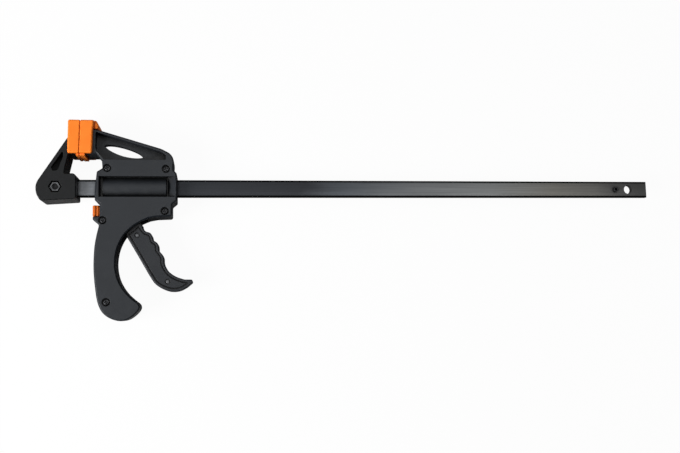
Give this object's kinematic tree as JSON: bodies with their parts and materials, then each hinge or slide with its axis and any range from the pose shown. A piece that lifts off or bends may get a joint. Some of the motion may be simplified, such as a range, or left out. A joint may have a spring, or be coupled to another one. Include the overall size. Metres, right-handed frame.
{
  "type": "quick release bar clamp",
  "caption": "One-handed bar clamp with a fixed jaw on a flat steel bar, a sliding pistol-grip jaw, squeeze trigger, release button and soft jaw pads.",
  "frame": {"origin": "on the bar's middle line, in the plane where the two pads meet when the clamp is closed", "axes": "+X along the bar to its free end, +Y from the grip to the jaw tips, +Z out of the side that carries the screw heads; stored closed"},
  "size_m": [0.6252, 0.1907, 0.038],
  "materials": {
    "bar_steel": "blackened rolled steel, satin",
    "black_steel": "black oxide, satin",
    "black_plastic": "fine grained glass filled plastic",
    "pad_rubber": "matt soft rubber",
    "button_plastic": "smooth moulded plastic",
    "bright_steel": "bright zinc plated steel"
  },
  "bodies": {
    "bar_unit": {"bar": "bar_steel", "fixed_jaw": "black_plastic", "jaw_bolt": "black_steel", "jaw_nut": "black_steel", "fixed_pad": "pad_rubber", "stop_pin": "black_steel"},
    "carriage": {"front_shell": "black_plastic", "rear_shell": "black_plastic", "housing_screws": "black_steel", "moving_pad": "pad_rubber", "trigger_pin": "bright_steel", "drive_spring": "bright_steel", "brake_spring": "bright_steel"},
    "trigger_unit": {"trigger": "black_plastic", "trigger_lever": "bright_steel", "trigger_rivets": "bright_steel"},
    "drive": {"drive_plate_a": "bright_steel", "drive_plate_b": "bright_steel"},
    "brake": {"brake_plate": "bright_steel"},
    "button": {"release_button": "button_plastic"}
  },
  "joints": [
    {"name": "jaw_slide", "type": "slide", "parent": "bar_unit", "child": "carriage", "axis": [1, 0, 0], "range_m": [0, 0.457]},
    {"name": "trigger_squeeze", "type": "hinge", "parent": "carriage", "child": "trigger_unit", "pos_m": [0.0416, -0.028, 0], "axis": [0, 0, -1], "range_deg": [0, 20], "stiffness_Nm_per_rad": 0.2, "springref_deg": -20.05},
    {"name": "drive_slide", "type": "slide", "parent": "carriage", "child": "drive", "axis": [1, 0, 0], "range_m": [0, 0.005], "deforming": ["drive_spring"]},
    {"name": "release_press", "type": "slide", "parent": "carriage", "child": "button", "axis": [1, 0, 0], "range_m": [0, 0.0031], "stiffness_N_per_m": 800, "springref_m": -0.002},
    {"name": "brake_tilt", "type": "hinge", "parent": "carriage", "child": "brake", "pos_m": [0.0262, 0.0137, 0], "axis": [0, 0, 1], "range_deg": [0, 5], "deforming": ["brake_spring"]}
  ],
  "couplings": [
    {"joint": "drive_slide", "follows": "trigger_squeeze", "m_per_rad": 0.0137},
    {"joint": "brake_tilt", "follows": "release_press", "rad_per_m": 27.7}
  ]
}
